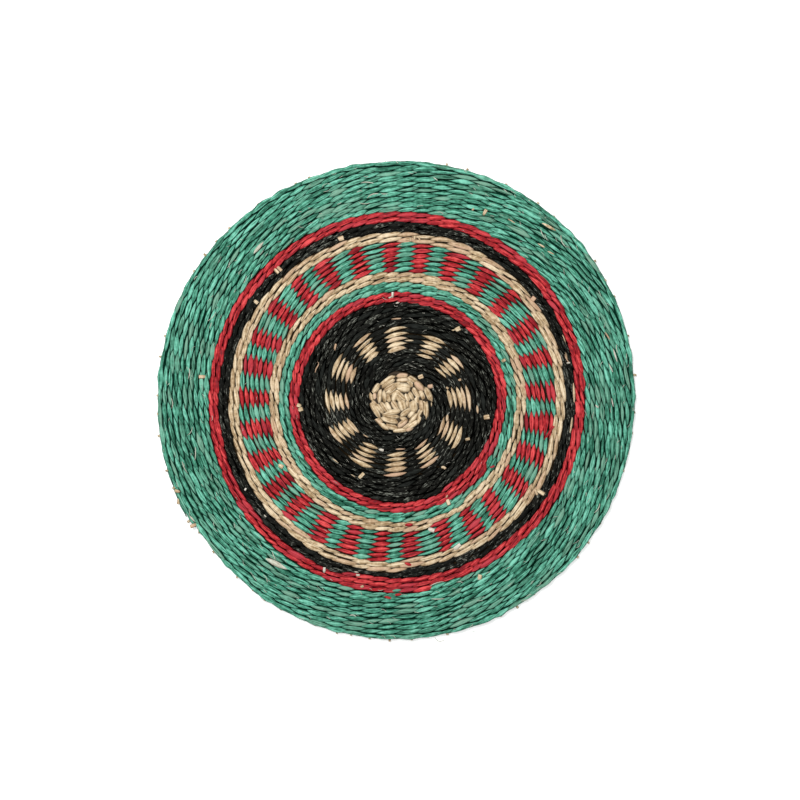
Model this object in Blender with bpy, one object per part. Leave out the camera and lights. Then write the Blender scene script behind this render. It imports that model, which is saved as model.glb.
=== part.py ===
"""Round placemat of twined seagrass, lying flat.

Dyed weft is twined round radial spokes in one spiral, from a thick natural button in the middle to a
blunt end at the rim. The whole is one woven piece, so it is one solid: a flat underside, and a top on
which the turns stand as a spiral of low ribs. Metres, +Z up, origin on the surface under the middle
of the mat. The turns' own middle lies a little to the +X side of it, as the last turns are uneven.
"""

import math
from collections import namedtuple

import bmesh
import bpy

Wave = namedtuple("Wave", "lobes height toward_deg")
Band = namedtuple("Band", "colours turns")

# The spiral of weft
PITCH = 0.00397  # from one turn to the next
SEGMENTS = 48  # flat steps to a turn
FIRST_TURN = 0.5  # where the ribs begin, in turns out from the middle
LAST_TURN = 47.27  # where the weft ends, in the same turns
END_ANGLE = math.radians(212)  # direction in which it ends, counterclockwise from +X

# Heights above the surface
CREST = 0.0056  # top of a turn
GROOVE = 0.0012  # how far the grooves lie below the crests
BUTTON_RISE = 0.0008  # extra thickness of the button in the middle
BUTTON_TURNS = 5.0  # turns that have all of it
BUTTON_SLOPE = 2.5  # turns over which it fades
UNEVEN = 0.00015  # slow rise and fall of the crests

# The rim
RIM_BULGE = 0.0006  # how far the rim's widest line stands out past the last groove
RIM_MIDDLE = 0.0027  # height of that line
RIM_TUCK = 0.0008  # how far the underside's edge lies inside the last groove
END_TAPER = 0.09  # turns over which the last turn thins
END_NARROWING = 0.0011  # how much narrower it is at its end
END_DROP = 0.0008  # how much lower it is there

# The outline's slow waves, as heights in metres
OUTLINE_WAVES = (
    Wave(lobes=1, height=0.0015, toward_deg=-177),
    Wave(lobes=2, height=0.0010, toward_deg=62),
    Wave(lobes=3, height=0.0006, toward_deg=32),
    Wave(lobes=4, height=0.0005, toward_deg=-38),
)

# Colours of the bands from the middle out; two colours stand in turn round the band
BANDS = (
    Band(colours=("natural",), turns=5.55),
    Band(colours=("black",), turns=13.96),
    Band(colours=("red",), turns=2.06),
    Band(colours=("green",), turns=1.94),
    Band(colours=("natural",), turns=1.95),
    Band(colours=("red", "green"), turns=5.97),
    Band(colours=("natural",), turns=1.99),
    Band(colours=("black",), turns=1.95),
    Band(colours=("red",), turns=2.08),
    Band(colours=("green",), turns=9.83),
)
DYES = {
    "natural": (0.61, 0.46, 0.28),
    "black": (0.012, 0.012, 0.011),
    "red": (0.46, 0.028, 0.048),
    "green": (0.075, 0.31, 0.22),
}
ROUGHNESS = 0.62
SMOOTH_UP_TO = math.radians(35)

STEPS = round((LAST_TURN - FIRST_TURN) * SEGMENTS)
RADIUS = PITCH * (LAST_TURN + 0.5)


def eased(share):
    """Goes smoothly from 0 to 1 as share does."""
    share = min(max(share, 0.0), 1.0)
    return share * share * (3 - 2 * share)


def turn_at(step):
    return FIRST_TURN + step / SEGMENTS


def angle_at(step):
    return END_ANGLE + math.tau * (step - STEPS) / SEGMENTS


def outline_shift(angle):
    """How far the outline stands out from an even one in this direction."""
    return sum(
        wave.height * math.cos(wave.lobes * (angle - math.radians(wave.toward_deg)))
        for wave in OUTLINE_WAVES
    )


def ending(step):
    """From 0 to 1 as the last turn thins towards its end, which is at STEPS."""
    return eased(1 - (STEPS - step) / (END_TAPER * SEGMENTS))


def crest_height(step, across=0.5):
    """Height of the crests, across turns out from the inner edge of the turn at this step."""
    out = turn_at(step) + across
    button = BUTTON_RISE * (1 - eased((out - BUTTON_TURNS) / BUTTON_SLOPE))
    swell = math.sin(2 * angle_at(step) + out / 5) + math.sin(3 * angle_at(step) - out / 3)
    return CREST + button + UNEVEN * swell * out / LAST_TURN - END_DROP * ending(step)


def groove_height(step):
    """Height of the groove along a turn's inner edge, which opens over the first turn."""
    opened = eased(step / SEGMENTS)
    return crest_height(step, across=0.0) - GROOVE * opened


def point(step, across, height, beyond=0.0):
    """A point in the direction of this step, across turns and beyond metres out from its inner edge."""
    angle = angle_at(step)
    radius = PITCH * (turn_at(step) + across)
    radius += outline_shift(angle) * (radius / RADIUS) ** 2 + beyond
    return radius * math.cos(angle), radius * math.sin(angle), height


def colour_of(step):
    """The colour of the turn at this step."""
    turn = turn_at(step)
    for band in BANDS:
        if turn < band.turns:
            return band.colours[step % len(band.colours)]
        turn -= band.turns
    return BANDS[-1].colours[0]


def dyed_material(name):
    material = bpy.data.materials.new(name + "_seagrass")
    material.use_nodes = True
    shader = material.node_tree.nodes["Principled BSDF"]
    shader.inputs["Base Color"].default_value = (*DYES[name], 1)
    shader.inputs["Roughness"].default_value = ROUGHNESS
    shader.inputs["Metallic"].default_value = 0
    return material


def add_ribs(mesh, grooves, crests, slot_of):
    """The two flanks of each step of the spiral, between its crest and the grooves beside it."""
    for step in range(STEPS):
        crest = crests[step], crests[step + 1]
        inner = grooves[step], grooves[step + 1]
        outer = grooves[step + SEGMENTS], grooves[step + SEGMENTS + 1]
        flanks = (
            (inner[0], inner[1], crest[1], crest[0]),
            (crest[0], crest[1], outer[1], outer[0]),
        )
        for flank in flanks:
            mesh.faces.new(flank).material_index = slot_of[colour_of(step)]


def add_middle(mesh, grooves, crests, slot_of):
    """The small cap that the first turn goes round, and the blunt start of that turn."""
    middle = mesh.verts.new((0, 0, crest_height(0)))
    for step in range(SEGMENTS):
        cap = mesh.faces.new((middle, grooves[step], grooves[step + 1]))
        cap.material_index = slot_of["natural"]
    start = mesh.faces.new((middle, grooves[SEGMENTS], crests[0], grooves[0]))
    start.material_index = slot_of["natural"]


def add_rim(mesh, grooves, crests, slot_of):
    """The rounded rim of the last turn, its blunt end and the flat underside."""
    bulge, foot = [], []
    for step in range(STEPS, STEPS + SEGMENTS + 1):
        narrow = END_NARROWING * ending(step - SEGMENTS)
        bulge.append(mesh.verts.new(point(step, 0, RIM_MIDDLE, RIM_BULGE - narrow)))
        foot.append(mesh.verts.new(point(step, 0, 0, -RIM_TUCK - narrow)))
    shoulder = grooves[STEPS:]
    slot = slot_of[BANDS[-1].colours[0]]
    for upper, lower in ((shoulder, bulge), (bulge, foot)):
        for here in range(SEGMENTS):
            quad = (upper[here], upper[here + 1], lower[here + 1], lower[here])
            mesh.faces.new(quad).material_index = slot
    end = (shoulder[0], bulge[0], foot[0], foot[-1], bulge[-1], shoulder[-1], crests[-1])
    mesh.faces.new(end).material_index = slot
    mesh.faces.new(foot).material_index = slot_of["natural"]


def centre_on_origin(mesh):
    """Moves the mesh so that the middle of its box is over the origin."""
    for axis in (0, 1):
        places = [vertex.co[axis] for vertex in mesh.verts]
        middle = (min(places) + max(places)) / 2
        for vertex in mesh.verts:
            vertex.co[axis] -= middle


def make_mat():
    data = bpy.data.meshes.new("mat")
    slot_of = {}
    for slot, name in enumerate(DYES):
        data.materials.append(dyed_material(name))
        slot_of[name] = slot

    mesh = bmesh.new()
    grooves = []
    for step in range(STEPS + SEGMENTS + 1):
        narrow = END_NARROWING * ending(step - SEGMENTS)
        height = groove_height(step) if step < STEPS else groove_height(step - SEGMENTS)
        grooves.append(mesh.verts.new(point(step, 0, height, -narrow)))
    crests = [mesh.verts.new(point(step, 0.5, crest_height(step))) for step in range(STEPS + 1)]

    add_ribs(mesh, grooves, crests, slot_of)
    add_middle(mesh, grooves, crests, slot_of)
    add_rim(mesh, grooves, crests, slot_of)
    centre_on_origin(mesh)
    bmesh.ops.recalc_face_normals(mesh, faces=mesh.faces)
    mesh.to_mesh(data)
    mesh.free()

    data.shade_smooth()
    data.set_sharp_from_angle(angle=SMOOTH_UP_TO)
    mat = bpy.data.objects.new("mat", data)
    bpy.context.collection.objects.link(mat)
    return mat


for old in list(bpy.data.objects):
    bpy.data.objects.remove(old, do_unlink=True)
make_mat()
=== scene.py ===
"""Looks of a round placemat of twined seagrass that lies flat, seen from straight above.

Two strands of dyed weft are twined round natural spokes, in one spiral from a thick natural button in
the middle to the rim. A strand passes over one spoke and under the next, and the other strand does the
opposite, so each shows as a row of pointed stitches. Every turn has the same even number of spokes as
the one inside it, wherever two dyes stand in turn, so the stitches of one dye stack up in columns.
"""

import math
from collections import namedtuple
from functools import cache

import bpy
import numpy as np
from bpy.props import FloatProperty, FloatVectorProperty, PointerProperty
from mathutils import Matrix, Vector


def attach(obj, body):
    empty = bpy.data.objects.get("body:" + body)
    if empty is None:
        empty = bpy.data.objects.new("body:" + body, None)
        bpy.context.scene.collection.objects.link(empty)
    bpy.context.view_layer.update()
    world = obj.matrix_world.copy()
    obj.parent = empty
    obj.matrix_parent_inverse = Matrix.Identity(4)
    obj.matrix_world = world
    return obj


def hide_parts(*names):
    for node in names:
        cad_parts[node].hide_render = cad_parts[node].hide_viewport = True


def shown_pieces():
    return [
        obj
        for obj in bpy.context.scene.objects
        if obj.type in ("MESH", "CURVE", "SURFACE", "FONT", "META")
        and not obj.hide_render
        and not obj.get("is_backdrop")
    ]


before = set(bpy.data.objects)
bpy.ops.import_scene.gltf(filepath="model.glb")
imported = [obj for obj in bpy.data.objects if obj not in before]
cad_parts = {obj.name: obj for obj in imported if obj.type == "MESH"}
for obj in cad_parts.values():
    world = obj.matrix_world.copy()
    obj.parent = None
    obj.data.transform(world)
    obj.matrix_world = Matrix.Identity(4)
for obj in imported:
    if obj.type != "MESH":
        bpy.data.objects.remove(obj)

bl_info = {
    "name": "Twined Seagrass Placemat",
    "version": (1, 0, 0),
    "blender": (4, 5, 0),
    "location": "3D View > Sidebar > Placemat",
    "description": "Makes a round placemat of dyed seagrass, stitch by stitch",
    "category": "Add Mesh",
}

TAU = math.tau

# The spiral, as in the CAD: its middle, its last turn and the direction in which that ends
MIDDLE = (0.00248, -0.00037)
LAST_TURN = 47.27
END_ANGLE = math.radians(212)
END_TAPER = 0.09  # turns over which the weft thins at its end
END_NARROWING = 0.0011
MIDDLE_TURNS_IN = 0.00095  # how much further in the turns lie that are far from both middle and rim
Wave = namedtuple("Wave", "lobes height toward_deg")
OUTLINE_WAVES = (
    Wave(lobes=1, height=0.0015, toward_deg=-177),
    Wave(lobes=2, height=0.0010, toward_deg=62),
    Wave(lobes=3, height=0.0006, toward_deg=32),
    Wave(lobes=4, height=0.0005, toward_deg=-38),
)

# Spokes: how many a turn has, and a direction in which the first strand passes over one
Spokes = namedtuple("Spokes", "turn count over_deg")
SPOKES = (
    Spokes(0.15, 4, None),
    Spokes(1.2, 6, None),
    Spokes(2.5, 9, None),
    Spokes(4.0, 11, None),
    Spokes(5.5, 13, None),
    Spokes(6.6, 24, 0),
    Spokes(15.2, 24, 0),
    Spokes(19.4, 58, 4),
    Spokes(33.5, 58, 4),
    Spokes(35.2, 78, 2),
    Spokes(47.27, 78, 2),
)
LEAN = math.radians(2.6)  # how far the spokes stray from even directions
LEAN_FROM = math.radians(20)
LEAN_ALL = math.radians(0.5)

STRAY = 0.16  # how far the columns of stitches stray, in spokes

# How many degrees each column of dashes stands off its even place, one column every 30 degrees
DASH_STRAY = (4.0, 3.3, -2.7, 0.3, -0.7, -1.9, 0.1, -1.4, -1.2, -0.4, -1.0, -0.8)

# Bands of weft from the middle out: the dyes of the two strands, up to this turn
TURNS = 48.0  # a little past the last one
Band = namedtuple("Band", "name dyes until rope")
BANDS = (
    Band("button", ("natural", "natural"), 5.0, rope=0),
    Band("dark_inner", ("black", "black"), 9.47, rope=0),
    Band("dashes", ("natural", "black"), 14.47, rope=0),
    Band("dark_outer", ("black", "black"), 19.51, rope=0),
    Band("red_inner", ("red", "red"), 21.57, rope=1),
    Band("green_inner", ("green", "green"), 23.52, rope=0.5),
    Band("natural_inner", ("natural", "natural"), 25.47, rope=1),
    Band("checks", ("red", "green"), 31.44, rope=0),
    Band("natural_outer", ("natural", "natural"), 33.43, rope=1),
    Band("black_outer", ("black", "black"), 35.38, rope=0.5),
    Band("red_outer", ("red", "red"), 37.46, rope=1),
    Band("green_rim", ("green", "green"), TURNS, rope=0.1),
)

# A strand's section and path, in the button and outside it
Twine = namedtuple("Twine", "middle rise half_thick half_wide dome blunt tip turned rolled")
BUTTON_TWINE = Twine(0.0029, 0.0016, 0.00115, 0.0024, 0.0003, 0.6, 0.7, 0.0003, 0.1)
TWINE = Twine(0.0028, 0.00195, 0.0009, 0.00198, 0.0003, 1.0, 0.76, 0.00025, 0.2)
ROPE = Twine(0.0028, 0.00195, 0.0009, 0.00208, 0.0003, 0.85, 0.84, 0.0002, 0.15)
ROPE_SLANT = 0.885  # how much of the slant the strands have in the plain rings
INNER_SLANT = 1.23  # and in the dark field
INNER_FADES = (14, 5)  # from which turn that fades, and over how many
CALM_EDGE = (45.6, 1.2, 0.55)  # the same for the outermost turns, and how much less they slant
BUTTON_ENDS = 5.0  # the turn at which the button's coarse twine begins to thin
BUTTON_THINS = 1.4  # turns over which it does

# The closed core: its edge from the last turn's inner edge, in turns, and the share of a turn over
# which it steps in where the weft ends
CORE_REACH = 0.62
CORE_STEPS_IN = 0.03

# A stitch, from the spoke that it passes over to the next spoke, which it passes under
STITCH_SAMPLES = (0, 0.18, 0.34, 0.48, 0.58, 0.67, 0.76, 0.88, 1.0)
DIVE_SAMPLE = 5  # the sample at which it is half way down
DIVE = (0.56, 0.25)  # where it begins to go down, and over how much of the way to the next spoke
TURN_BACK = 0.62  # where it turns back to the other side of its row
UNDER_TIP = 0.38  # where its tip ends on the underside, from the next spoke back
UNDER_REACH = 0.78  # how far the underside's stitches reach past their spoke, in spokes
SHADE = (0.48, 0.26, 0.9)  # where a stitch goes into shade, over how much of the way, and how deep
BELOW_SHOWS = (0.8, 0.18)  # from where it shows in full below, and over how much of the way to there
THINNEST = 0.0004  # half the width of a strand where it is least
SIDES = 8  # round a strand
MEAN_RADIUS = 0.0016  # of a strand, for the streaks round it

# The button's plump stitches: height of their middle line, half the thickness, the short ones, which
# lie lower, and half of a charted length or width in metres, with the part that its neighbours hide
PAD_TOP = 0.0053
PAD_THICK = 0.0014
SHORT_PAD = 7.2
SHORT_SINKS = 0.0004
PAD_LENGTH = 0.00059
PAD_WIDTH = 0.00065

# The same stitches as charted, in millimetres: middle x and y, length, width, direction, pinkness
BUTTON_PADS = (
    (5, 19, 9.5, 4, 0, 0.9), (5, 15.7, 8.7, 4.4, 3, 0.2), (5.8, 9.7, 11.1, 6.7, -5, 0),
    (12.6, 16.6, 9.5, 4, -30, 0), (11, 12.9, 7.1, 4.4, -32, 0), (17.7, 10.9, 9.9, 4.9, -46, 0.9),
    (15.6, 5.8, 10.3, 4.1, -60, 0.1), (20.1, 4.3, 8.7, 3.6, -66, 0.1),
    (25.6, 4.8, 11.9, 4.6, -64, 0), (23.4, -6.9, 14.7, 4.3, -88, 0),
    (19.6, -4.5, 9.5, 3.8, -82, 0.4), (14.1, -4.9, 9.5, 6, -82, 0), (11.8, 3.7, 6.7, 3.5, -62, 0),
    (8.7, 2.3, 6.7, 3.6, -66, 0), (4.2, 3.4, 9.5, 3.5, -44, 0), (-0.9, 3.1, 8.3, 4.8, 74, 0),
    (4.7, -4.2, 9.9, 6, -68, 0), (-1.3, -4.4, 8.3, 4.4, -58, 0.2), (-5.7, 1.8, 7.1, 3.8, -74, 0),
    (-9.4, 2.9, 9.1, 3.3, -86, 0), (-12.9, 3.4, 11.5, 3.3, 84, 0.1), (-16.1, 9.3, 9.1, 4, 58, 0),
    (-16.7, 3.4, 7.1, 3, -80, 0.7), (-19.7, 2.6, 7.5, 2.9, -76, 0), (-16.9, -7.7, 14.7, 4, -60, 0),
    (-13.5, -16.3, 8.7, 3.8, -40, 0.5), (-12.9, -6.6, 9.1, 4, -50, 0),
    (-9.3, -5.5, 9.1, 3.6, -54, 0.1), (-6.1, -4.7, 7.5, 3.5, -58, 0), (-7, 16.2, 14.3, 4.3, 32, 0),
    (-6.1, 13.1, 12.3, 3.5, 33, 0), (-5, 10.5, 10.3, 3.2, 32, 0.2), (-3.9, 8.2, 9.5, 3.2, 32, 0),
    (-3.1, 5.9, 6.3, 2.9, 34, 0), (-2.8, -9.6, 11.9, 4, 8, 0), (-4.3, -12.3, 13.5, 3.6, -8, 0),
    (-4.7, -15.3, 14.3, 4.9, -14, 0), (7.4, -9.9, 9.1, 4.1, 38, 0), (11.8, -11.2, 6.7, 4, 52, 0),
    (13.6, -14.4, 9.9, 4, 50, 0), (19.5, -9.3, 7.5, 3.3, 62, 0), (5.7, -14.4, 6.3, 3.3, -18, 0),
    (4.7, -17.9, 9.5, 4, 38, 0.8), (7.9, -20.6, 8.7, 2.7, 38, 0.2), (13.3, -19.1, 9.9, 4, 36, 0),
    (18.5, -16.3, 7.1, 3, 62, 0), (-4.2, -20.2, 13.5, 4.6, -17, 0.1), (3, -23.4, 13.1, 3.5, 4, 0),
    (10.9, -22, 7.9, 3.2, 30, 0.8), (27.2, -3.4, 5.2, 2.1, -72, 0),
    (22.5, -1.8, 4.8, 3.2, -60, 0.2), (1.4, 6.6, 4, 3.2, -30, 0), (-9.6, -20.4, 9, 4, -32, 0),
    (-17.5, -2, 6, 3.4, -40, 0.2), (16.5, 0.5, 6, 3.6, -75, 0.1), (1.5, 12.6, 7, 3.4, 20, 0),
    (0.5, -8, 7, 3.6, 30, 0), (17.6, -12.6, 7, 3.4, 70, 0.1), (10, -7.2, 6, 3.4, 30, 0),
    (2.5, 1, 6, 3.4, -60, 0), (9.5, -3, 6, 3.2, -80, 0.1),
)

# Ends of weft that lie on the face, and odd stitches: the dye's place in LOOSE_DYES, pinkness, width,
# whether both ends taper, and points from the end in the weave to the free one, all in millimetres
LOOSE_DYES = ("natural", "bleached", "red", "green")
LOOSE_ENDS = (
    (0, 0.2, 4, 0, -46.4, 127.2, -41.6, 128.5), (0, 0.1, 2.7, 0, -96.3, 103.9, -93, 100.5),
    (0, 0.7, 2.7, 0, -94.3, 106, -90.6, 102.3), (0, 0, 3, 0, -112.1, 78.8, -109.4, 76.5),
    (0, 0.3, 3, 0, -151, 18.6, -156, 18.6), (1, 0, 2.2, 0, -2.8, 81.3, -2.7, 85.6),
    (1, 0, 1.3, 0, -3, 82.1, -5.9, 80.8), (0, 0, 3.2, 0, -75.1, -4.8, -78.4, -3.6),
    (0, 0, 3.4, 0, -77.5, -8, -73.9, -6.7), (0, 0, 3.8, 0, 46.7, 55.3, 50.6, 57.1),
    (0, 0, 1.2, 1, 47, 55.6, 43.8, 55.3), (0, 0.2, 2.8, 0, 69, 146.7, 71.3, 150.7),
    (0, 0.9, 4, 0, 106.8, 78.3, 109.6, 81.6), (0, 0, 2.8, 0, 83.4, 30.6, 86.3, 32.2),
    (0, 0.9, 1, 1, 133.6, 37, 134, 33.9, 135.7, 31, 137.4, 29.7),
    (1, 0, 1.6, 0, 134.7, 29.3, 137.5, 29.8), (0, 0.1, 3.6, 0, 17.4, 17.9, 21.2, 19.2),
    (0, 0.8, 3.6, 0, 25, 10.6, 28.9, 11.3), (0, 0.1, 4, 0, 68.8, -13.8, 73.7, -13),
    (0, 0.3, 2, 1, 64.6, -10.9, 63.9, -3.8), (0, 0, 3.1, 0, -30, -62.2, -25.5, -57.7),
    (0, 0.1, 0.6, 1, -36.2, -58.5, -34.2, -59.5, -30.8, -61.9),
    (0, 0.1, 2.2, 0, 35.5, -54.2, 37.1, -52.9, 39, -54.2), (1, 0, 2, 0, -13.5, -38.9, -9.9, -39.6),
    (0, 0.6, 1.8, 0, -48.8, 39.6, -47.7, 44.6), (0, 0, 3.5, 0, -93, -51.1, -89.5, -53.1),
    (1, 0, 1.7, 0, -119.8, -71.5, -118.7, -69.5), (1, 0, 1, 0, -104.9, -90.4, -102.8, -92.2),
    (1, 0, 2.4, 0, -57, -136, -56.7, -132.1), (1, 0, 1.3, 1, -33.3, -135.5, -29.7, -136.2),
    (1, 0, 1.9, 0, -32, -138.1, -28.8, -138.4), (0, 0, 1.1, 1, -31.3, -131.6, -26.6, -132.2),
    (0, 0, 3.2, 0, 40.1, -78.1, 41.9, -82.7), (0, 1, 1.4, 0, 39.3, -77.3, 40.7, -75),
    (0, 0, 3.3, 0, 110.7, -70.7, 117.1, -74.4), (0, 0.2, 2, 0, 109.5, -69.8, 111.5, -75),
    (0, 0.1, 3.6, 0, 65.6, -142.1, 66.4, -137.9), (1, 0, 3.6, 0, 25.6, -101.9, 30.2, -103.1),
    (1, 0, 3.6, 0, 45.5, -118.1, 50.8, -114), (2, 0.8, 1.6, 0, 74.3, -53.2, 77.7, -52),
    (0, 0.2, 2.5, 0, -171.4, -72.4, -175.2, -71.3), (0, 0.1, 1.9, 0, -172.6, -78.2, -172, -82.1),
    (0, 0.7, 3, 0, -158.4, -98.3, -162.9, -100), (1, 0, 1.3, 1, -163.7, -90.9, -159.1, -96.4),
    (0, 0.8, 1, 1, -62.8, 30.7, -61.3, 28.5, -62.6, 26.2, -63.7, 23.7, -64.8, 18.8),
    (2, 0.2, 2, 0, 117.4, -31.1, 121, -25.6, 124.6, -20.4), (1, 0, 0.8, 1, 0.9, 122, 5.2, 122.7),
    (1, 0, 1.3, 1, -0.6, 76.6, 2.8, 77.4), (0, 0, 1.7, 0, 11.6, 125.4, 11.1, 128.5),
    (0, 0, 1.7, 0, 14.2, 126.6, 15, 129.8), (0, 0.3, 1.7, 0, 19, 125.8, 17.9, 128.8),
    (0, 0.3, 1, 1, -26.6, -26.9, -21.7, -29.5), (0, 0.8, 1.2, 1, -2, -38.8, 7.5, -38.5),
    (0, 0, 1.4, 1, 6.6, 47.2, 14.5, 47.2), (0, 0.9, 1.3, 1, -4.1, 64.2, 5.4, 64.7),
    (0, 0.1, 0.9, 1, -50.9, -45.6, -45.3, -49.9), (0, 0.4, 1.9, 0, 49.2, 15.7, 51.3, 16.5),
    (0, 0.2, 1.9, 0, 39.3, 10.3, 41.3, 9.1), (0, 0.3, 2.5, 1, 40, -17.2, 40.6, -10.9),
    (0, 0, 2.4, 0, 55, -31.1, 58.1, -30.3), (2, 0, 2.1, 1, -9.6, -155.3, -3.4, -156.7),
    (2, 0, 2.2, 1, -1.7, -154.1, 4.6, -153.2), (2, 0, 2.6, 1, 6.5, -128.6, 12.5, -130.6),
    (2, 0.1, 3, 1, 6.5, -98.8, 13.5, -98.2), (0, 0, 1.9, 0, -28.4, -147.8, -25.8, -146.8),
    (3, 0.4, 2.4, 1, -8.5, -127.6, -2.9, -127.3), (3, 0.3, 2.4, 1, -3.7, -150.9, 4.2, -150),
    (0, 0.2, 1, 1, 134.1, 45.1, 132.7, 48.9, 131.3, 52.5),
    (0, 0.2, 1, 1, 135.5, 31.3, 134.7, 34.8, 133.7, 38.2),
    (0, 0.2, 2.1, 1, 140.8, -3.1, 140.6, 5.7, 140, 14.4),
    (0, 0.2, 1.7, 1, 137.1, -27.5, 138.5, -19.7, 139.3, -11.8),
    (0, 0, 2.4, 1, 114.5, 140.7, 126.7, 133.9), (1, 0.5, 3, 1, -113.3, 115.4, -104.8, 125.5),
    (1, 0.35, 4.4, 1, -104.2, -124.6, -86, -133.8), (0, 0.2, 1, 1, 87.5, 144, 95, 139.5),
    (0, 0, 1.6, 1, 111.8, 124, 118, 120.5), (0, 0.2, 1.2, 1, 119, 118.3, 125.5, 115),
    (0, 0.5, 1.6, 0, 60, 150.2, 61.5, 151.5), (1, 0, 1.4, 1, 171.5, 41, 175, 29.5),
    (0, 0.6, 1.2, 1, 164.8, 54.5, 169.5, 47), (1, 0, 1, 1, 168, 29.3, 171.8, 21),
    (1, 0, 1, 1, 170.2, 1.8, 171.8, -5.5), (1, 0, 1.4, 1, 157.5, -3.5, 160, -6.5),
)

FACE = 0.0057  # how high the loose ends lie
RIM_FROM = 37  # the turn from which the stray fibres are greenish

# Stray fibres on the face, between these turns
Fibres = namedtuple("Fibres", "first last count length width")
FIBRES = (
    Fibres(RIM_FROM, 47, 260, 0.005, 0.0004),
    Fibres(RIM_FROM, 46, 24, 0.010, 0.0008),
    Fibres(6, 18, 70, 0.0035, 0.00025),
    Fibres(18, RIM_FROM, 50, 0.004, 0.00025),
)


def eased(share):
    """Goes smoothly from 0 to 1 as share does."""
    share = np.clip(share, 0, 1)
    return share * share * (3 - 2 * share)


def outline_shift(angle):
    """How far the outline stands out from an even one in this direction."""
    return sum(
        wave.height * np.cos(wave.lobes * (angle - math.radians(wave.toward_deg)))
        for wave in OUTLINE_WAVES
    )


def leaning(even):
    """Where the spoke stands that an even spacing puts in this direction."""
    return even + LEAN_ALL + LEAN * np.sin(even - LEAN_FROM)


def weaving(local):
    """From -1 to 1 over a spoke, then back under the next, as a strand changes sides in its row."""
    over = (local + 1) % 2 - 1
    under = np.sign(over) * (1 - np.abs(over)) / (1 - TURN_BACK)
    return np.where(np.abs(over) <= TURN_BACK, over / TURN_BACK, under)


def ripples(seed, shortest, longest, count=14):
    """A smooth uneven field over the mat, mostly from -1 to 1, as a function of x and y."""
    rng = np.random.default_rng(seed)
    lengths = rng.uniform(shortest, longest, count)
    ways = rng.uniform(0, TAU, count)
    starts = rng.uniform(0, TAU, count)

    def field(x, y):
        total = 0
        for length, way, start in zip(lengths, ways, starts):
            total = total + np.sin(TAU * (x * math.cos(way) + y * math.sin(way)) / length + start)
        return total * math.sqrt(2 / count) / 1.6

    return field


class Weave:
    """Where the spokes and the two strands of weft run."""

    def __init__(self):
        settings = bpy.context.scene.placemat_weave
        self.pitch = settings.turn_spacing
        self.slant = settings.slant
        self.uneven = settings.unevenness
        self.wide = settings.strand_width / 2 / TWINE.half_wide
        self.radius = self.pitch * (LAST_TURN + 0.5)
        self.sway = ripples(11, 0.014, 0.06)
        self.drift = ripples(12, 0.02, 0.08)
        self.number_spokes()

    def number_spokes(self):
        """Counts the spokes along the spiral, which gives each point of it a crossing number."""
        self.even = END_ANGLE + TAU * np.linspace(-LAST_TURN - 0.6, 0.3, 60001)
        self.turns = LAST_TURN + (leaning(self.even) - END_ANGLE) / TAU
        knots = []
        for spokes in SPOKES:
            at = np.interp(spokes.turn, self.turns, self.even)
            step = TAU / spokes.count
            odd = None
            if spokes.over_deg is not None:
                start = math.radians(spokes.over_deg)
                number = round((at - start) / step)
                at = start + number * step
                odd = number % 2
            knots.append((at, 1 / step, odd))
        numbers = [0]
        for (at, rate, _), (then, later, odd) in zip(knots, knots[1:]):
            gained = round((then - at) * (rate + later) / 2)
            if odd is not None and (numbers[-1] + gained - odd) % 2:
                gained += 1
            numbers.append(numbers[-1] + gained)
        self.numbers = np.empty_like(self.even)
        ends = list(zip(knots, numbers))
        before, after = self.even < knots[0][0], self.even >= knots[-1][0]
        for ((at, rate, _), number), here in ((ends[0], before), (ends[-1], after)):
            self.numbers[here] = number + (self.even[here] - at) * rate
        for ((at, rate, _), number), ((then, later, _), number_then) in zip(ends, ends[1:]):
            here = (self.even >= at) & (self.even < then)
            share = (self.even[here] - at) / (then - at)
            square, cube = share**2, share**3
            self.numbers[here] = (
                number * (2 * cube - 3 * square + 1)
                + rate * (then - at) * (cube - 2 * square + share)
                + number_then * (3 * square - 2 * cube)
                + later * (then - at) * (cube - square)
            )
        self.knots = numbers
        self.last_number = float(np.interp(LAST_TURN, self.turns, self.numbers))

    def turn_at(self, number):
        return np.interp(number, self.numbers, self.turns)

    def place(self, turn, outward, height):
        """Points on the middle line of a turn, moved outward and up."""
        angle = END_ANGLE + TAU * (turn - LAST_TURN)
        radius = self.pitch * (turn + 0.5)
        radius = radius + outline_shift(angle) * (radius / self.radius) ** 2 + outward
        radius = radius - MIDDLE_TURNS_IN * eased(turn / 15) * eased((LAST_TURN - 1 - turn) / 9)
        x = MIDDLE[0] + radius * np.cos(angle)
        y = MIDDLE[1] + radius * np.sin(angle)
        return np.stack(np.broadcast_arrays(x, y, height), axis=-1)

    def drifted(self, number):
        """The turn of a crossing, once the columns of stitches have strayed a little."""
        turn = self.turn_at(number)
        spot = self.place(turn, 0, 0)
        stray = STRAY * self.uneven * self.drift(spot[..., 0], spot[..., 1]) * eased((turn - 1) / 6)
        inside = 1 - eased((turn - 15) / 4)
        angle = np.degrees(END_ANGLE + TAU * (turn - LAST_TURN))
        found = np.interp(angle, np.arange(0, 361, 30), (*DASH_STRAY, DASH_STRAY[0]), period=360)
        stray = stray * (1 - 0.6 * inside) + found / 15 * inside * eased((turn - 5) / 4)
        return self.turn_at(number + stray)


def outward_of(points):
    """Level unit vectors that point away from the mat's middle."""
    out = points - np.array((*MIDDLE, 0))
    out[..., 2] = 0
    return out / np.linalg.norm(out, axis=-1, keepdims=True)


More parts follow.
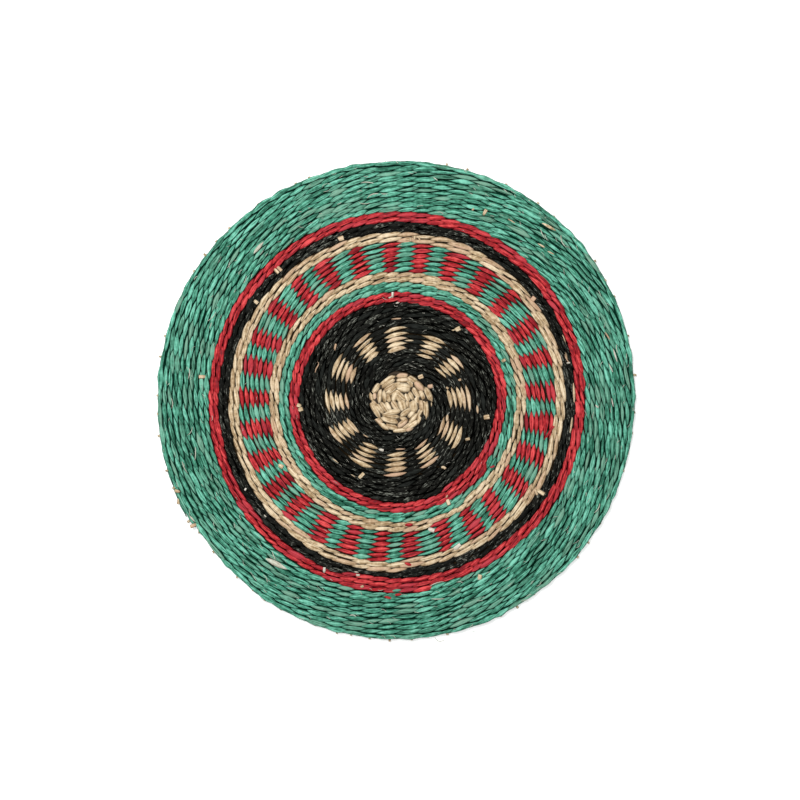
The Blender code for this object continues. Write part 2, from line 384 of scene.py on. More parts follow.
class Strand:
    """One of the two strands of weft, sampled from the mat's middle to its rim."""

    def __init__(self, weave, which):
        self.which = which
        rng = np.random.default_rng(40 + which)
        last = weave.last_number - which
        stitches = int(last) + 4
        self.stitches = stitches
        down = np.array(STITCH_SAMPLES)
        up = 1 - down[::-1]
        local = np.concatenate([m + (up if m % 2 else down)[:-1] for m in range(stitches - 2)])
        local = local[local <= last]
        self.last = len(local) - 1
        self.numbers = local + which
        crest = 2 * np.floor((local + 1) / 2).astype(int)
        away = np.abs(local - crest)
        uneven = weave.uneven
        self.tint = rng.normal(0, 1, stitches).clip(-2, 2)
        self.pale = 0.75 * rng.uniform(0, 1, stitches) ** 5

        def jitter(spread, most):
            """How much each stitch differs, as it shows at this sample."""
            each = uneven * rng.normal(0, spread, stitches + 2).clip(-most, most)
            return each[crest]

        turn = weave.turn_at(self.numbers)
        out = eased((turn - BUTTON_ENDS) / BUTTON_THINS)
        rope = np.select([turn < band.until for band in BANDS], [band.rope for band in BANDS], 0)
        twine = Twine(*(
            a + (b - a) * out + (c - b) * rope
            for a, b, c in zip(BUTTON_TWINE, TWINE, ROPE)
        ))
        reach = twine.tip + jitter(0.05, 0.1)
        top = np.clip(1 - (away / reach) ** 1.5, 0, 1)
        under = np.clip(1 - ((1 - away) / UNDER_TIP) ** 2, 0, 1)
        turn = weave.drifted(self.numbers + jitter(0.05, 0.1) * top)
        angle = END_ANGLE + TAU * (turn - LAST_TURN)
        spot = weave.place(turn, 0, 0)
        slant = weave.slant * (1 + 0.1 * np.cos(angle - math.radians(30))) * (0.4 + 0.6 * out)
        begins, over, less = CALM_EDGE
        slant = slant * (1 + (ROPE_SLANT - 1) * rope) * (1 - less * eased((turn - begins) / over))
        begins, over = INNER_FADES
        slant = slant * (1 + (INNER_SLANT - 1) * (1 - eased((turn - begins) / over)) * out)
        ending = eased(1 - (LAST_TURN - turn) / END_TAPER)
        outward = (
            0.0003 * uneven * weave.sway(spot[:, 0], spot[:, 1]) * eased(turn / 4)
            + jitter(0.0002, 0.0004) * top
            - slant * weaving(local)
            - jitter(1, 2) * twine.turned * (local - crest) * top
            - END_NARROWING * ending
        )
        dive = eased((away - DIVE[0]) / DIVE[1])
        rise = twine.rise * (1 - 0.35 * ending)
        dome = twine.dome * (away / 0.5) ** 2
        height = twine.middle + rise * (1 - 2 * dive) - dome * (1 - dive)
        height += jitter(0.0001, 0.0002) * top
        self.centres = weave.place(turn, outward, height)
        wide = twine.half_wide * weave.wide * (1 - 0.3 * ending)
        wide_top = wide * (1 + jitter(0.15, 0.3)) * top**twine.blunt
        self.half_wide = np.maximum(np.maximum(wide_top, 0.92 * wide * under), THINNEST)
        thick = twine.half_thick * (1 - 0.2 * ending)
        self.half_thick = thick * (0.55 + 0.45 * np.maximum(top, 0.45 * under))
        self.roll = jitter(1, 2) * twine.rolled * top
        # Painted shade: each sample is drawn darker as the stitch dives, and in full shade inside the
        # button under its pads; on the underside it is drawn unshaded
        begins, over, deep = SHADE
        above = (1 - deep * eased((away - begins) / over)) * out
        begins, over = BELOW_SHOWS
        self.shown = np.maximum(above, 1 - eased((begins - away) / over))
        self.stitch = crest + np.where(away > reach, np.sign(local - crest), 0).astype(int)

    def tubes(self, dye_of):
        """The first and last samples of each stretch of one dye, with its band and dye."""
        amount = len(STITCH_SAMPLES) - 1
        tops = range(0, self.stitches - 3, 2)
        dyes = [dye_of(top + self.which, self.which) for top in tops]
        start = 0
        for index in range(1, len(dyes) + 1):
            if index == len(dyes) or dyes[index] != dyes[start]:
                # One stretch ends and the next begins where the strand dives
                first = max(2 * start * amount - DIVE_SAMPLE, 0)
                last = min(2 * index * amount - DIVE_SAMPLE, self.last)
                if last > first:
                    yield first, last, dyes[start]
                start = index


class Bundle:
    """Collects tubes and makes one mesh of them."""

    def __init__(self):
        self.points = []
        self.faces = []
        self.uvs = []
        self.values = {"tint": [], "pale": [], "depth": []}
        self.count = 0

    def add(self, centres, half_wide, half_thick, sideways=None, roll=0.0, sides=SIDES,
            tint=0.0, pale=0.0, depth=1.0, edge=0.3, offset=0.0):
        """One tube along centres. Its wide side lies along sideways, level and outward by default."""
        centres = np.asarray(centres, float)
        amount = len(centres)
        way = np.gradient(centres, axis=0)
        way /= np.linalg.norm(way, axis=1, keepdims=True)
        out = outward_of(centres) if sideways is None else np.broadcast_to(sideways, centres.shape)
        out = out - way * np.sum(out * way, axis=1, keepdims=True)
        out = out / np.linalg.norm(out, axis=1, keepdims=True)
        up = np.cross(out, way)
        roll = np.broadcast_to(roll, amount)[:, None]
        out, up = out * np.cos(roll) + up * np.sin(roll), up * np.cos(roll) - out * np.sin(roll)
        half_wide = np.broadcast_to(half_wide, amount)
        half_thick = np.broadcast_to(half_thick, amount)
        round_it = TAU * np.arange(sides) / sides
        ring = (
            centres[:, None, :]
            + out[:, None, :] * (half_wide[:, None] * np.cos(round_it))[..., None]
            + up[:, None, :] * (half_thick[:, None] * np.sin(round_it))[..., None]
        )
        ring[..., 2] = np.maximum(ring[..., 2], 0)
        base = self.count
        at = base + np.arange(amount * sides).reshape(amount, sides)
        following = np.roll(at, -1, axis=1)
        quads = np.stack((at[:-1], at[1:], following[1:], following[:-1]), axis=-1).reshape(-1, 4)
        self.faces += quads.tolist()
        self.faces.append(at[0].tolist())
        self.faces.append(at[-1][::-1].tolist())
        self.points.append(ring.reshape(-1, 3))
        self.count += amount * sides

        length = np.concatenate(([0], np.cumsum(np.linalg.norm(np.diff(centres, axis=0), axis=1))))
        length = length + offset
        girth = np.arange(sides + 1) * TAU * MEAN_RADIUS / sides
        corner = np.empty((amount - 1, sides, 4, 2))
        for index, (step, turn) in enumerate(((0, 0), (1, 0), (1, 1), (0, 1))):
            corner[..., index, 0] = length[step : amount - 1 + step, None]
            corner[..., index, 1] = girth[None, turn : sides + turn]
        self.uvs.append(corner.reshape(-1, 2))
        self.uvs.append(np.full((2 * sides, 2), offset))
        for name, value in (("tint", tint), ("pale", pale)):
            each = np.broadcast_to(value, amount)[:-1]
            self.values[name].append(np.repeat(each, sides))
            self.values[name].append(np.array((each[0], each[-1])))
        # Painted shade: a tube is drawn darker towards its sides, down to edge there, as where
        # neighbouring strands meet, and depth darkens it along its length
        across = edge + (1 - edge) * np.minimum(1.35 * np.abs(np.sin(round_it)), 1)
        self.values["depth"].append((np.broadcast_to(depth, amount)[:, None] * across).ravel())

    def build(self, name, material):
        points = np.concatenate(self.points)
        mesh = bpy.data.meshes.new(name)
        mesh.from_pydata(points.tolist(), [], self.faces)
        mesh.shade_smooth()
        layer = mesh.uv_layers.new(name="strand")
        layer.data.foreach_set("uv", np.concatenate(self.uvs).ravel())
        for value, domain in (("tint", "FACE"), ("pale", "FACE"), ("depth", "POINT")):
            attribute = mesh.attributes.new(value, "FLOAT", domain)
            attribute.data.foreach_set("value", np.concatenate(self.values[value]).astype(np.float32))
        mesh.materials.append(material)
        piece = bpy.data.objects.new(name, mesh)
        bpy.context.scene.collection.objects.link(piece)
        return piece


class Wire:
    """The value that leaves a node's socket. Python's operators add Math nodes to it."""

    def __init__(self, nodes, socket):
        self.nodes = nodes
        self.socket = socket

    def math(self, operation, first, second):
        return self.nodes.add("Math", {"operation": operation}, {0: first, 1: second})

    def __add__(self, other):
        return self.math("ADD", self, other)

    def __radd__(self, other):
        return self.math("ADD", other, self)

    def __sub__(self, other):
        return self.math("SUBTRACT", self, other)

    def __rsub__(self, other):
        return self.math("SUBTRACT", other, self)

    def __mul__(self, other):
        return self.math("MULTIPLY", self, other)

    def __rmul__(self, other):
        return self.math("MULTIPLY", other, self)


class Nodes:
    """A new material and the nodes that it is made of."""

    def __init__(self, name):
        self.material = bpy.data.materials.new(name)
        self.material.use_nodes = True
        self.tree = self.material.node_tree
        self.surface = self.tree.nodes["Principled BSDF"]

    def feed(self, socket, value):
        if isinstance(value, Wire):
            self.tree.links.new(value.socket, socket)
        else:
            socket.default_value = value

    def add(self, kind, settings=None, inputs=None, output=0):
        """A node of this kind, with its settings made before its sockets are fed."""
        node = self.tree.nodes.new("ShaderNode" + kind)
        settings = dict(settings or {})
        stops = settings.pop("stops", None)
        steps = settings.pop("steps", False)
        for name, value in settings.items():
            setattr(node, name, value)
        if stops:
            ramp = node.color_ramp
            ramp.interpolation = "CONSTANT" if steps else "LINEAR"
            for _ in stops[2:]:
                ramp.elements.new(0.5)
            for element, (position, colour) in zip(ramp.elements, stops):
                element.position = position
                element.color = colour
        for name, value in (inputs or {}).items():
            self.feed(node.inputs[name], value)
        return Wire(self, node.outputs[output])

    def mixed(self, share, first, second):
        """A colour between two."""
        settings = {"data_type": "RGBA"}
        return self.add("Mix", settings, {0: share, 6: first, 7: second}, output=2)

    def finish(self, **sockets):
        for name, value in sockets.items():
            self.feed(self.surface.inputs[name.replace("_", " ").title()], value)
        return self.material


def opaque(colour, strength=1.0):
    return (*(channel * strength for channel in colour), 1)


# Painted shade: the colour of the shaded gaps between stitches and a strand's sides, as a share of each
# deep dye
GAP_SHADE = {"natural": 0.12, "bleached": 0.3, "black": 1.0, "red": 0.6, "green": 0.6}


@cache
def seagrass(dye):
    """Dyed seagrass: streaks along the blade, stitches that took the dye unevenly, and a waxy sheen,
    with painted shade in the gaps and on a strand's sides.
    """
    colours = bpy.context.scene.placemat_dyes
    shades = ("", "_light", "_deep", "_pale")
    body, light, deep, pale = (getattr(colours, dye + shade) for shade in shades)
    nodes = Nodes(f"{dye}_seagrass_woven")
    blade = nodes.add("UVMap", {"uv_map": "strand"})

    def grain(along, across, detail, roughness=0.5):
        """Noise with so many spots to a metre along the blade and across it."""
        spots = nodes.add("Mapping", None, {"Vector": blade, "Scale": (along, across, 1)})
        sockets = {"Vector": spots, "Scale": 1, "Detail": detail, "Roughness": roughness}
        return nodes.add("TexNoise", {"noise_dimensions": "2D"}, sockets)

    along, across = (230, 1300) if dye == "black" else (60, 900)
    streak = grain(along, across, 2, roughness=0.6)
    ridges = grain(160, 3800, 1)
    crease = grain(420, 260, 1)
    tint = nodes.add("Attribute", {"attribute_name": "tint"}, output="Fac")
    fade = nodes.add("Attribute", {"attribute_name": "pale"}, output="Fac")
    depth = nodes.add("Attribute", {"attribute_name": "depth"}, output="Fac")
    creases = {"black": 0.3, "red": 0.6, "green": 0.6}.get(dye, 0.9)
    fines = 0.7 if dye == "black" else 1.0
    shade = 0.5 + tint * 0.12 + (streak - 0.5) * 2.5 + (crease - 0.5) * creases
    shade = shade + (ridges - 0.5) * fines
    # For black, the top of the ramp is painted glints: light specks where the noise runs highest
    if dye == "black":
        stops = (
            (0.0, opaque(deep)),
            (0.78, opaque(body)),
            (0.94, opaque(light, 0.35)),
            (1.0, opaque(light)),
        )
    else:
        stops = ((0.0, opaque(deep)), (0.5, opaque(body)), (1.0, opaque(light)))
    colour = nodes.add("ValToRGB", {"stops": stops}, {0: shade})
    colour = nodes.mixed(fade * (streak * 5 - 1.5), colour, opaque(pale))
    # Painted shade: where depth is low (diving tips, a strand's sides, the gaps) the colour goes to the
    # darkened deep dye
    colour = nodes.mixed(depth, opaque(deep, GAP_SHADE[dye]), colour)
    height = ridges * 0.6 + streak + crease * 0.7
    bump = nodes.add("Bump", None, {"Strength": 0.9, "Distance": 0.0004, "Height": height})
    rough = 0.42 + ridges * 0.3
    nodes.surface.inputs["Specular IOR Level"].default_value = 0.06 if dye == "black" else 0.22
    return nodes.finish(base_color=colour, roughness=rough, normal=bump)


@cache
def core_material():
    """What shows deep between the stitches: spokes and weft in shade, painted as the dyes above
    darkened to shade.
    """
    colours = bpy.context.scene.placemat_dyes
    nodes = Nodes("shaded_core")
    spot = nodes.add("TexCoord", output="Object")
    away = nodes.add("VectorMath", {"operation": "SUBTRACT"}, {0: spot, 1: (*MIDDLE, 0)})
    flat = nodes.add("VectorMath", {"operation": "MULTIPLY"}, {0: away, 1: (1, 1, 0)})
    radius = nodes.add("VectorMath", {"operation": "LENGTH"}, {0: flat}, output="Value")
    across = nodes.add("SeparateXYZ", None, {0: away}, output="X")
    along = nodes.add("SeparateXYZ", None, {0: away}, output="Y")
    angle = across.math("ARCTAN2", along, across)
    out = radius * (1 / bpy.context.scene.placemat_weave.turn_spacing)
    past = out - angle * (1 / TAU) + (END_ANGLE / TAU - LAST_TURN + 60)
    turn = out - past.math("FRACT", past, 0)
    stops = []
    start = 0.0
    # Painted shade: each band's mean deep dye, darkened further
    for band in BANDS:
        dyes = [getattr(colours, f"{dye}_deep") for dye in band.dyes]
        mean = [sum(channels) / len(dyes) for channels in zip(*dyes)]
        stops.append((start, opaque(mean, 0.12 if "natural" in band.dyes else 0.35)))
        start = band.until / TURNS
    grain = nodes.add("TexNoise", None, {"Vector": spot, "Scale": 700, "Detail": 2})
    colour = nodes.add("ValToRGB", {"stops": stops, "steps": True}, {0: turn * (1 / TURNS)})
    bump = nodes.add("Bump", None, {"Strength": 0.5, "Distance": 0.0004, "Height": grain})
    nodes.surface.inputs["Specular IOR Level"].default_value = 0.0
    return nodes.finish(base_color=colour, roughness=0.7 + grain * 0.2, normal=bump)


def finish_piece(piece):
    """Everything rides on the one body."""
    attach(piece, "root")


@cache
def weave():
    """The weave and its two strands, worked out once for all the pieces."""
    plan = Weave()
    return plan, [Strand(plan, which) for which in (0, 1)]


def dye_of(number, which):
    """The band and dye of a strand's stitch over the spoke with this crossing number."""
    turn = float(weave()[0].turn_at(number))
    band = next((band for band in BANDS if turn < band.until), BANDS[-1])
    return band, band.dyes[which]


def add_bands(names):
    """The weft of these bands, one piece for each dye."""
    bundles = {}
    for strand in weave()[1]:
        for first, last, (band, dye) in strand.tubes(dye_of):
            if band.name not in names:
                continue
            part = slice(first, last + 1)
            stitch = strand.stitch[part]
            name = f"weft_{band.name}"
            if band.dyes[0] != band.dyes[1]:
                name += f"_{dye}"
            bundle = bundles.setdefault((name, dye), Bundle())
            bundle.add(
                strand.centres[part],
                strand.half_wide[part],
                strand.half_thick[part],
                roll=strand.roll[part],
                tint=strand.tint[stitch],
                pale=strand.pale[stitch],
                depth=strand.shown[part],
                offset=7.0 * strand.which + 0.05 * first,
            )
    for (name, dye), bundle in bundles.items():
        finish_piece(bundle.build(name, seagrass(dye)))


def add_undersides():
    """The stitches on the underside, where each strand passes below a spoke, one piece for each dye."""
    plan, strands = weave()
    bundles = {}
    along = np.array((-1, -0.75, -0.4, 0, 0.4, 0.75, 1))
    fullness = np.clip(1 - np.abs(along) ** 1.6, 0.12, 1)
    height = TWINE.half_thick * math.sin(TAU / 6) + 0.0014 * np.abs(along) ** 2.5
    for strand in strands:
        for local in range(1, int(plan.last_number) - 1, 2):
            number = local + strand.which
            _, dye = dye_of(number, strand.which)
            turn = plan.drifted(number + UNDER_REACH * along)
            lean = plan.slant * along * eased(turn / 4)
            uneven = 0.0003 * plan.uneven * plan.sway(*plan.place(turn, 0, 0)[:, :2].T)
            line = plan.place(turn, lean + uneven * eased(turn / 4), height)
            # Painted shade: the underside stitches are drawn darker toward their tips
            bundles.setdefault(dye, Bundle()).add(
                line,
                TWINE.half_wide * plan.wide * fullness * (1 + 0.05 * strand.tint[local]),
                TWINE.half_thick * (0.4 + 0.6 * fullness),
                sides=6,
                tint=strand.tint[local],
                pale=strand.pale[local],
                depth=np.clip(fullness * 1.6, 0, 1),
                offset=7.0 * strand.which + 0.05 * local,
            )
    for dye, bundle in bundles.items():
        finish_piece(bundle.build(f"under_{dye}", seagrass(dye)))


def small_size(name, description, default):
    return FloatProperty(
        name=name, description=description, default=default, min=0, precision=5, unit="LENGTH"
    )


def dye_colour(name, description, default):
    return FloatVectorProperty(
        name=name, description=description, default=default, subtype="COLOR", min=0, max=1
    )


class PlacematWeaveSettings(bpy.types.PropertyGroup):
    """Sizes of the weave."""

    turn_spacing: small_size("Turn spacing", "Distance from one turn of weft to the next", 0.00397)
    strand_width: small_size("Stitch width", "Width of a stitch over a spoke", 0.00396)
    slant: small_size("Slant", "How far a strand moves in as it goes over a spoke", 0.0013)
    core_thickness: small_size("Core thickness", "Of what closes the weave between its faces", 0.0004)
    unevenness: FloatProperty(
        name="Unevenness",
        description="How uneven the handwork is",
        default=1,
        min=0,
        max=2,
        subtype="FACTOR",
    )


class PlacematDyeSettings(bpy.types.PropertyGroup):
    """Colours of the seagrass."""

    natural: dye_colour("Natural", "Undyed seagrass", (0.64, 0.48, 0.285))
    natural_light: dye_colour("Natural, light", "Its lightest streaks", (0.95, 0.78, 0.54))
    natural_deep: dye_colour("Natural, deep", "Its darkest streaks", (0.33, 0.21, 0.10))
    natural_pale: dye_colour("Natural, pink", "Its odd pinkish stitches", (0.66, 0.42, 0.28))
    bleached: dye_colour("Bleached", "Weft that is nearly white", (0.72, 0.67, 0.56))
    bleached_light: dye_colour("Bleached, light", "Its lightest streaks", (0.95, 0.90, 0.80))
    bleached_deep: dye_colour("Bleached, deep", "Its darkest streaks", (0.42, 0.36, 0.26))
    bleached_pale: dye_colour("Bleached, green", "Its greenish fibres", (0.60, 0.74, 0.60))
    black: dye_colour("Black", "Black seagrass", (0.0115, 0.0115, 0.0088))
    # Painted glints on the black seagrass
    black_light: dye_colour("Black, light", "Its lightest streaks", (0.24, 0.25, 0.21))
    black_deep: dye_colour("Black, deep", "Its darkest streaks", (0.003, 0.003, 0.0026))
    black_pale: dye_colour("Black, grey", "Its odd grey stitches", (0.02, 0.023, 0.02))
    red: dye_colour("Red", "Red seagrass", (0.475, 0.013, 0.020))
    # The red's lightest streaks, partly painted highlights
    red_light: dye_colour("Red, light", "Its lightest streaks", (0.90, 0.10, 0.10))
    red_deep: dye_colour("Red, deep", "Its darkest streaks", (0.17, 0.004, 0.010))
    red_pale: dye_colour("Red, pink", "Its odd pinkish stitches", (0.56, 0.05, 0.07))
    green: dye_colour("Green", "Green seagrass", (0.076, 0.345, 0.225))
    # The green's lightest streaks, partly painted highlights
    green_light: dye_colour("Green, light", "Its lightest streaks", (0.24, 0.70, 0.52))
    green_deep: dye_colour("Green, deep", "Its darkest streaks", (0.008, 0.09, 0.05))
    green_pale: dye_colour("Green, grey", "Its odd greyish stitches", (0.22, 0.43, 0.31))


class PlacematStageSettings(bpy.types.PropertyGroup):
    """The camera and the light."""

    camera_height: FloatProperty(
        name="Camera height", description="Height above the mat", default=2.0, unit="LENGTH"
    )
    focal_length: FloatProperty(
        name="Focal length", description="Of the lens", default=113.5, unit="CAMERA"
    )
    key_power: FloatProperty(
        name="Large light", description="Power of the large soft light", default=21, unit="POWER"
    )
    sky: FloatProperty(name="Sky", description="Strength of the even light around", default=0.5)


class Step:
    """What the operators share."""

    bl_options = {"REGISTER", "UNDO"}


class PLACEMAT_OT_core(Step, bpy.types.Operator):
    """Adds the closed core between the weave's two faces, a dark sheet painted as the shade between the
    stitches
    """

    bl_idname = "placemat.core"
    bl_label = "Core"

    def execute(self, context):
        # The settings may have changed since the last run
        for known in (weave, seagrass, core_material):
            known.cache_clear()
        plan, _ = weave()
        thick = context.scene.placemat_weave.core_thickness
        bpy.ops.object.select_all(action="DESELECT")
        bpy.ops.mesh.primitive_cylinder_add(
            vertices=288, radius=1, depth=thick, end_fill_type="TRIFAN", location=(0, 0, TWINE.middle)
        )
        core = context.object
        core.name = "core"
        core.data.name = "core"
        bpy.ops.object.transform_apply(location=True, rotation=True, scale=True)
        for vertex in core.data.vertices:
            angle = math.atan2(vertex.co.y, vertex.co.x)
            along = (angle - END_ANGLE) % TAU / TAU
            turn = LAST_TURN - 1 + along
            edge = self.edge(plan, turn, along)
            reach = math.hypot(vertex.co.x, vertex.co.y)
            vertex.co.x = MIDDLE[0] + reach * edge * math.cos(angle)
            vertex.co.y = MIDDLE[1] + reach * edge * math.sin(angle)
        bpy.ops.object.mode_set(mode="EDIT")
        bpy.ops.mesh.select_all(action="SELECT")
        bpy.ops.mesh.normals_make_consistent(inside=False)
        bpy.ops.object.mode_set(mode="OBJECT")
        core.data.materials.append(core_material())
        finish_piece(core)
        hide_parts("mat")
        return {"FINISHED"}

    def edge(self, plan, turn, along):
        """The core's radius, just inside the last turn's outer edge."""
        radius = plan.pitch * (turn + CORE_REACH)
        radius -= plan.pitch * (1 - float(eased((1 - along) / CORE_STEPS_IN))) * 0.9
        angle = END_ANGLE + TAU * (turn - LAST_TURN)
        return radius + float(outline_shift(angle))


class PLACEMAT_OT_spokes(Step, bpy.types.Operator):
    """Adds the natural spokes that the weft is twined round, with their cut ends at the rim"""

    bl_idname = "placemat.spokes"
    bl_label = "Spokes"

    def execute(self, context):
        plan, _ = weave()
        rng = np.random.default_rng(71)
        inner, tips = Bundle(), Bundle()
        for index in (5, 7, 9):
            self.add_zone(inner, tips, plan, rng, index)
        # The spokes inside the weave take the core's painted shade; only their cut ends at the rim are
        # drawn as natural seagrass
        finish_piece(inner.build("spokes", core_material()))
        finish_piece(tips.build("spoke_ends", seagrass("natural")))
        return {"FINISHED"}

    def add_zone(self, inner, tips, plan, rng, index):
        """The spokes between two knots of the same count, and their cut ends after the last one."""
        first, last = plan.knots[index], plan.knots[index + 1]
        count = SPOKES[index].count
        rim = index == 9
        if rim:
            last = math.floor(plan.last_number)
        for spoke in range(count):
            crossings = np.arange(first + spoke, last + 1, count)
            line = plan.place(plan.drifted(crossings.astype(float)), 0, TWINE.middle)
            away = outward_of(line)
            level = np.stack((-away[:, 1], away[:, 0], 0 * away[:, 0]), axis=1)
            size = 0.00095 * rng.uniform(0.8, 1.1)
            inner.add(line, size, size * 0.9, sideways=-level, sides=6)
            if rim:
                beyond = plan.pitch * 0.5 + rng.uniform(-0.0005, 0.0018)
                droop = np.array((0, 0, rng.uniform(-0.0012, 0.0006)))
                tip = line[-1] + away[-1] * beyond + level[-1] * rng.normal(0, 0.0004) + droop
                tips.add(
                    (line[-1], tip),
                    size,
                    size * 0.9,
                    sideways=-level[-1],
                    sides=6,
                    tint=rng.normal(0, 1),
                    offset=float(rng.uniform(0, 5)),
                )


class PLACEMAT_OT_button(Step, bpy.types.Operator):
    """Adds the coarse natural weft of the button in the middle"""

    bl_idname = "placemat.button"
    bl_label = "Button"

    def execute(self, context):
        rng = np.random.default_rng(5)
        pads = Bundle()
        along = np.array((-1, -0.94, -0.82, -0.6, -0.3, 0, 0.3, 0.6, 0.82, 0.94, 1))
        fullness = np.clip(1 - np.abs(along) ** 2.8, 0.04, 1) ** 0.72
        for x, y, length, width, degrees, pink in BUTTON_PADS:
            toward = math.radians(degrees)
            way = np.array((math.cos(toward), math.sin(toward), 0))
            side = np.array((way[1], -way[0], 0))
            reach = math.hypot(x / 1000 - MIDDLE[0], y / 1000 - MIDDLE[1])
            high = PAD_TOP - 0.0008 * (reach / 0.024) ** 3 + rng.normal(0, 0.00015)
            high -= SHORT_SINKS if length < SHORT_PAD else 0
            line = np.array((x / 1000, y / 1000, high)) + along[:, None] * way * length * PAD_LENGTH
            line += (1 - along**2)[:, None] * side * rng.normal(0, 0.0003)
            line[:, 2] -= PAD_THICK * np.abs(along) ** 3
            # Painted shade: a pad's sides are drawn dark well inside its edge (edge below zero) and its
            # ends darker, as dark seams between pads
            pads.add(
                line,
                width * PAD_WIDTH * fullness,
                PAD_THICK * fullness**0.7,
                sideways=side,
                sides=12,
                edge=-0.9,
                roll=rng.normal(0, 0.12),
                tint=rng.normal(0, 0.8),
                pale=0.55 * pink,
                depth=np.clip(fullness * 1.15, 0, 1),
                offset=float(rng.uniform(0, 4)),
            )
        finish_piece(pads.build("button_pads", seagrass("natural")))
        add_bands(("button",))
        return {"FINISHED"}


class PLACEMAT_OT_dark_field(Step, bpy.types.Operator):
    """Adds the black field with its ring of natural dashes"""

    bl_idname = "placemat.dark_field"
    bl_label = "Dark field"

    def execute(self, context):
        add_bands(("dark_inner", "dashes", "dark_outer"))
        return {"FINISHED"}


class PLACEMAT_OT_rings(Step, bpy.types.Operator):
    """Adds the plain rings and the checked ring between the dark field and the rim"""

    bl_idname = "placemat.rings"
    bl_label = "Rings"

    def execute(self, context):
        add_bands(("red_inner", "green_inner", "natural_inner", "checks"))
        add_bands(("natural_outer", "black_outer", "red_outer"))
        return {"FINISHED"}


class PLACEMAT_OT_rim(Step, bpy.types.Operator):
    """Adds the green turns at the rim"""

    bl_idname = "placemat.rim"
    bl_label = "Rim"

    def execute(self, context):
        add_bands(("green_rim",))
        return {"FINISHED"}


class PLACEMAT_OT_underside(Step, bpy.types.Operator):
    """Adds the stitches on the underside, below the core"""

    bl_idname = "placemat.underside"
    bl_label = "Underside"

    def execute(self, context):
        add_undersides()
        return {"FINISHED"}


def bent(numbers, samples):
    """Places along a smooth line through points that are given in millimetres."""
    points = np.reshape(numbers, (-1, 2)) / 1000
    given = np.linspace(0, 1, len(points))
    along = np.linspace(0, 1, samples)
    curves = [np.polyfit(given, points[:, axis], len(points) - 1) for axis in (0, 1)]
    return along, np.stack([np.polyval(curve, along) for curve in curves], axis=1)


class PLACEMAT_OT_loose_ends(Step, bpy.types.Operator):
    """Adds the cut ends of weft that stick out of the face, and odd single stitches"""

    bl_idname = "placemat.loose_ends"
    bl_label = "Loose Ends"

    def execute(self, context):
        rng = np.random.default_rng(31)
        bundles = {}
        for kind, pink, width, tapers, *numbers in LOOSE_ENDS:
            along, line = bent(numbers, 9)
            half = width / 2000
            if tapers:
                high = FACE - 0.0009 * np.abs(2 * along - 1) ** 3
                half_wide = half * np.clip(1 - np.abs(2 * along - 1) ** 2.2, 0.12, 1)
            else:
                high = FACE - 0.0001 - 0.0014 * (1 - eased(along / 0.4))
                half_wide = half * (0.85 + 0.15 * eased(along / 0.4))
            line = np.column_stack((line, high))
            way = line[-1] - line[0]
            side = np.array((way[1], -way[0], 0)) / math.hypot(way[0], way[1])
            bundles.setdefault(LOOSE_DYES[kind], Bundle()).add(
                line,
                half_wide,
                np.minimum(0.00075, 0.8 * half_wide),
                sideways=side,
                roll=rng.normal(0, 0.12),
                tint=rng.normal(0.8, 0.8),
                pale=pink,
                offset=float(rng.uniform(0, 4)),
            )
        for dye, bundle in bundles.items():
            finish_piece(bundle.build(f"ends_{dye}", seagrass(dye)))
        return {"FINISHED"}


class PLACEMAT_OT_fibres(Step, bpy.types.Operator):
    """Adds fine stray fibres that lie on the weave"""

    bl_idname = "placemat.fibres"
    bl_label = "Stray Fibres"

    def execute(self, context):
        plan, _ = weave()
        rng = np.random.default_rng(83)
        bundle = Bundle()
        for fibres in FIBRES:
            for _ in range(fibres.count):
                turn = rng.uniform(fibres.first, fibres.last)
                middle = plan.place(turn + rng.uniform(0, 1), 0, 0)
                length = fibres.length * rng.uniform(0.5, 1.5)
                out = outward_of(middle[None])[0]
                toward = math.atan2(out[1], out[0]) + math.pi / 2 - rng.normal(0.12, 0.3)
                curl = rng.normal(0, 0.5)
                along = np.linspace(-1, 1, 7)
                heading = toward + curl * along
                steps = np.stack((np.cos(heading), np.sin(heading), 0 * along), axis=1)
                line = middle + np.cumsum(steps, axis=0) * length / 7
                line[:, 2] = FACE + 0.00005 - 0.0006 * along**4
                size = fibres.width / 2 * rng.uniform(0.6, 1.3)
                wide = size * np.clip(1 - along**4, 0.3, 1)
                bundle.add(
                    line,
                    wide,
                    wide * 0.7,
                    sideways=out,
                    sides=5,
                    tint=rng.uniform(1, 4),
                    edge=1.0,
                    pale=0.9 if turn > RIM_FROM else 0.1,
                )
        finish_piece(bundle.build("stray_fibres", seagrass("bleached")))
        return {"FINISHED"}


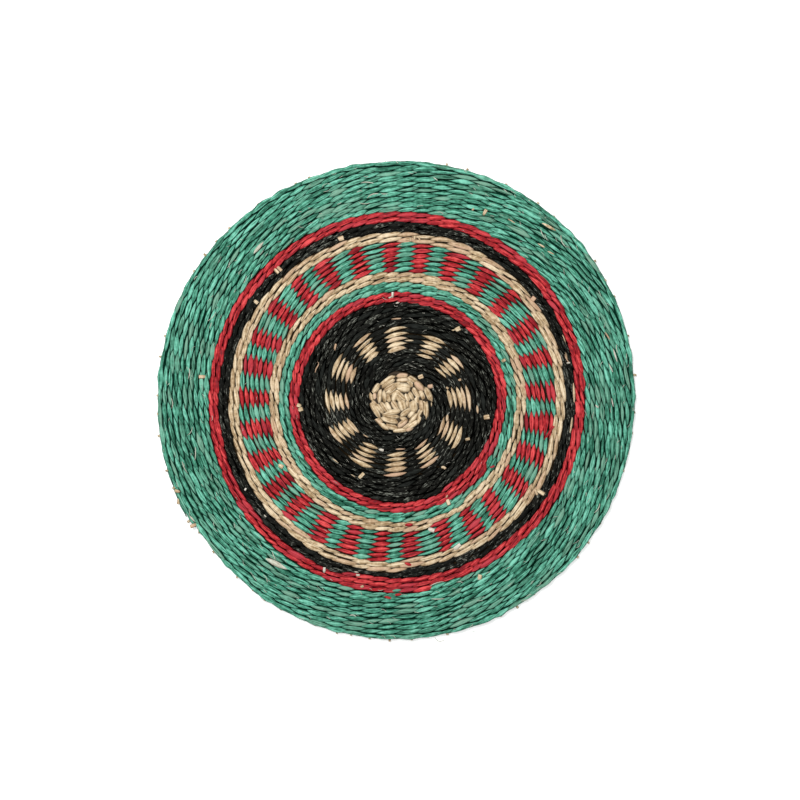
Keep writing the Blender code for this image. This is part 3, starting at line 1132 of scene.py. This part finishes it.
class PLACEMAT_OT_stage(Step, bpy.types.Operator):
    """Adds the white floor, the soft light and the camera straight above"""

    bl_idname = "placemat.stage"
    bl_label = "Stage"

    def execute(self, context):
        stage = context.scene.placemat_stage
        bpy.ops.object.select_all(action="DESELECT")
        bpy.ops.mesh.primitive_plane_add(size=6, location=(0, 0, 0))
        floor = context.object
        floor.name = "floor"
        nodes = Nodes("white_floor")
        nodes.surface.inputs["Roughness"].default_value = 1.0
        nodes.surface.inputs["Base Color"].default_value = (0.85, 0.85, 0.85, 1)
        nodes.surface.inputs["Specular IOR Level"].default_value = 0.0
        nodes.surface.inputs["Emission Color"].default_value = (1, 1, 1, 1)
        nodes.surface.inputs["Emission Strength"].default_value = 0.5
        floor.data.materials.append(nodes.material)
        floor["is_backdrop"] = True

        lamp = bpy.data.lights.new("large_light", "AREA")
        lamp.shape = "DISK"
        lamp.size = 0.9
        lamp.energy = stage.key_power
        light = bpy.data.objects.new("large_light", lamp)
        light.location = (-0.5, 0.6, 1.5)
        light.rotation_mode = "QUATERNION"
        light.rotation_quaternion = (-Vector(light.location)).to_track_quat("-Z", "Y")
        context.scene.collection.objects.link(light)

        world = bpy.data.worlds.new("even_light")
        world.use_nodes = True
        sky = world.node_tree.nodes["Background"]
        sky.inputs["Color"].default_value = (1, 1, 1, 1)
        sky.inputs["Strength"].default_value = stage.sky
        context.scene.world = world

        lens = bpy.data.cameras.new("camera")
        lens.lens = stage.focal_length
        lens.sensor_width = 36
        lens.clip_end = 20
        camera = bpy.data.objects.new("camera", lens)
        camera.location = (0.0030, 0.0002, stage.camera_height)
        context.scene.collection.objects.link(camera)
        context.scene.camera = camera
        context.scene.view_settings.view_transform = "Standard"
        return {"FINISHED"}


class PLACEMAT_PT_panel(bpy.types.Panel):
    """Lists the settings and the steps that make the placemat"""

    bl_label = "Seagrass Placemat"
    bl_idname = "PLACEMAT_PT_panel"
    bl_space_type = "VIEW_3D"
    bl_region_type = "UI"
    bl_category = "Placemat"

    def draw(self, context):
        scene = context.scene
        for title, settings in (
            ("Weave", scene.placemat_weave),
            ("Dyes", scene.placemat_dyes),
            ("Stage", scene.placemat_stage),
        ):
            box = self.layout.box()
            box.label(text=title)
            for name in settings.__annotations__:
                box.prop(settings, name)
        for step in STEPS:
            self.layout.operator(step.bl_idname)


STEPS = (
    PLACEMAT_OT_core,
    PLACEMAT_OT_spokes,
    PLACEMAT_OT_button,
    PLACEMAT_OT_dark_field,
    PLACEMAT_OT_rings,
    PLACEMAT_OT_rim,
    PLACEMAT_OT_underside,
    PLACEMAT_OT_loose_ends,
    PLACEMAT_OT_fibres,
    PLACEMAT_OT_stage,
)
SETTINGS = {
    "placemat_weave": PlacematWeaveSettings,
    "placemat_dyes": PlacematDyeSettings,
    "placemat_stage": PlacematStageSettings,
}


def register():
    for known in (*SETTINGS.values(), *STEPS, PLACEMAT_PT_panel):
        bpy.utils.register_class(known)
    for name, settings in SETTINGS.items():
        setattr(bpy.types.Scene, name, PointerProperty(type=settings))


def unregister():
    for name in SETTINGS:
        delattr(bpy.types.Scene, name)
    for known in (PLACEMAT_PT_panel, *reversed(STEPS), *SETTINGS.values()):
        bpy.utils.unregister_class(known)


def main():
    register()
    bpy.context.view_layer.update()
    for step in STEPS:
        group, name = step.bl_idname.split(".")
        getattr(getattr(bpy.ops, group), name)()
    core = bpy.data.objects["core"]
    others = [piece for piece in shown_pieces() if piece != core]


if __name__ == "__main__":
    main()
